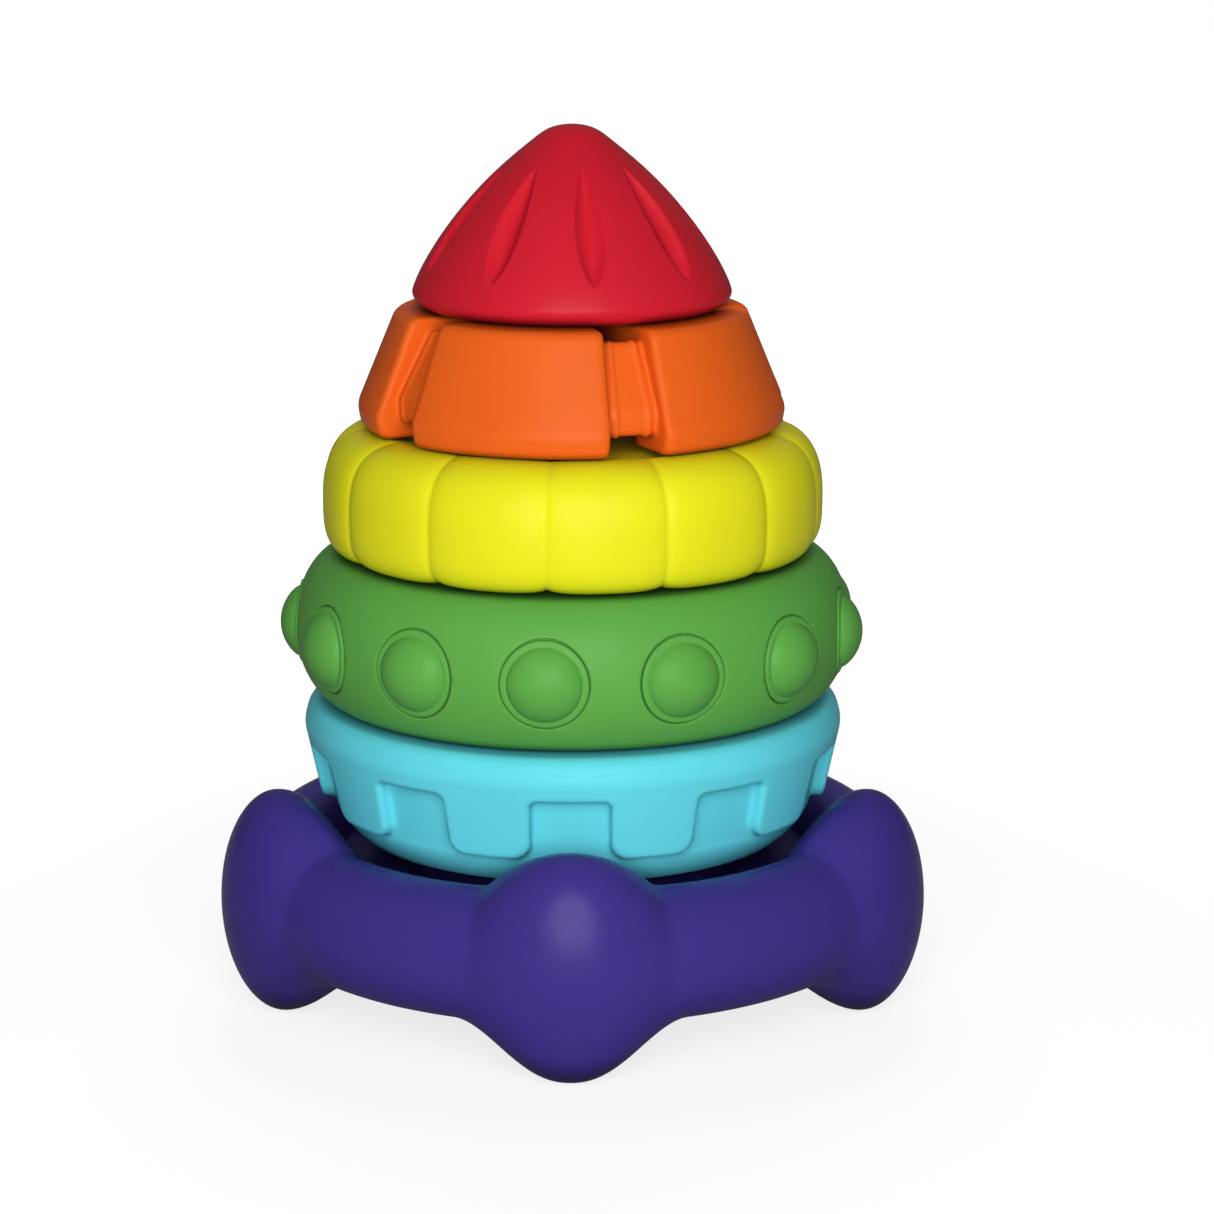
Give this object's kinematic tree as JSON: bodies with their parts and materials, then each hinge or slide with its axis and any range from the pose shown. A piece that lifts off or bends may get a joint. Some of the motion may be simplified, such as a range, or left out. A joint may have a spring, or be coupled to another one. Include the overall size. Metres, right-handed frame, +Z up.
{
  "type": "stacking ring toy",
  "caption": "Rainbow stacking toy: differently textured hollow rings and a dimpled nose cone slide over a post fixed in a knobbed base.",
  "frame": {"origin": "centre of the footprint at floor level, close to the post's axis", "axes": "+Z up along the post, -Y towards the front knob"},
  "size_m": [0.1548, 0.154, 0.1908],
  "materials": {
    "purple": "satin moulded",
    "cyan": "satin moulded",
    "green": "satin moulded",
    "bright_green": "satin moulded",
    "yellow": "satin moulded",
    "orange": "satin moulded",
    "red": "satin moulded",
    "grey": "satin moulded",
    "steel": "zinc plated"
  },
  "bodies": {
    "base": {"base_shell": "purple", "base_cover": "purple", "post": "grey", "base_screw_1": "steel", "base_screw_2": "steel", "base_screw_3": "steel", "base_screw_4": "steel", "base_screw_5": "steel"},
    "cyan_ring": {"cyan_ring_shell": "cyan", "cyan_ring_plate": "cyan"},
    "green_ring": {"green_ring_shell": "green", "green_ring_plate": "green", "green_dome_1": "bright_green", "green_dome_2": "bright_green", "green_dome_3": "bright_green", "green_dome_4": "bright_green", "green_dome_5": "bright_green", "green_dome_6": "bright_green", "green_dome_7": "bright_green", "green_dome_8": "bright_green", "green_dome_9": "bright_green", "green_dome_10": "bright_green", "green_dome_11": "bright_green", "green_dome_12": "bright_green", "green_dome_13": "bright_green"},
    "yellow_ring": {"yellow_ring_shell": "yellow", "yellow_ring_plate": "yellow"},
    "orange_ring": {"orange_ring_shell": "orange", "orange_ring_plate": "orange"},
    "cone": {"cone_shell": "red", "cone_plate": "red"}
  },
  "joints": [
    {"name": "cyan_ring_lift", "type": "slide", "parent": "base", "child": "cyan_ring", "axis": [0, 0, 1], "range_m": [0, 0.14]},
    {"name": "green_ring_lift", "type": "slide", "parent": "cyan_ring", "child": "green_ring", "axis": [0, 0, 1], "range_m": [0, 0.11]},
    {"name": "yellow_ring_lift", "type": "slide", "parent": "green_ring", "child": "yellow_ring", "axis": [0, 0, 1], "range_m": [0, 0.08]},
    {"name": "orange_ring_lift", "type": "slide", "parent": "yellow_ring", "child": "orange_ring", "axis": [0, 0, 1], "range_m": [0, 0.05]},
    {"name": "cone_lift", "type": "slide", "parent": "orange_ring", "child": "cone", "axis": [0, 0, 1], "range_m": [0, 0.025]}
  ]
}
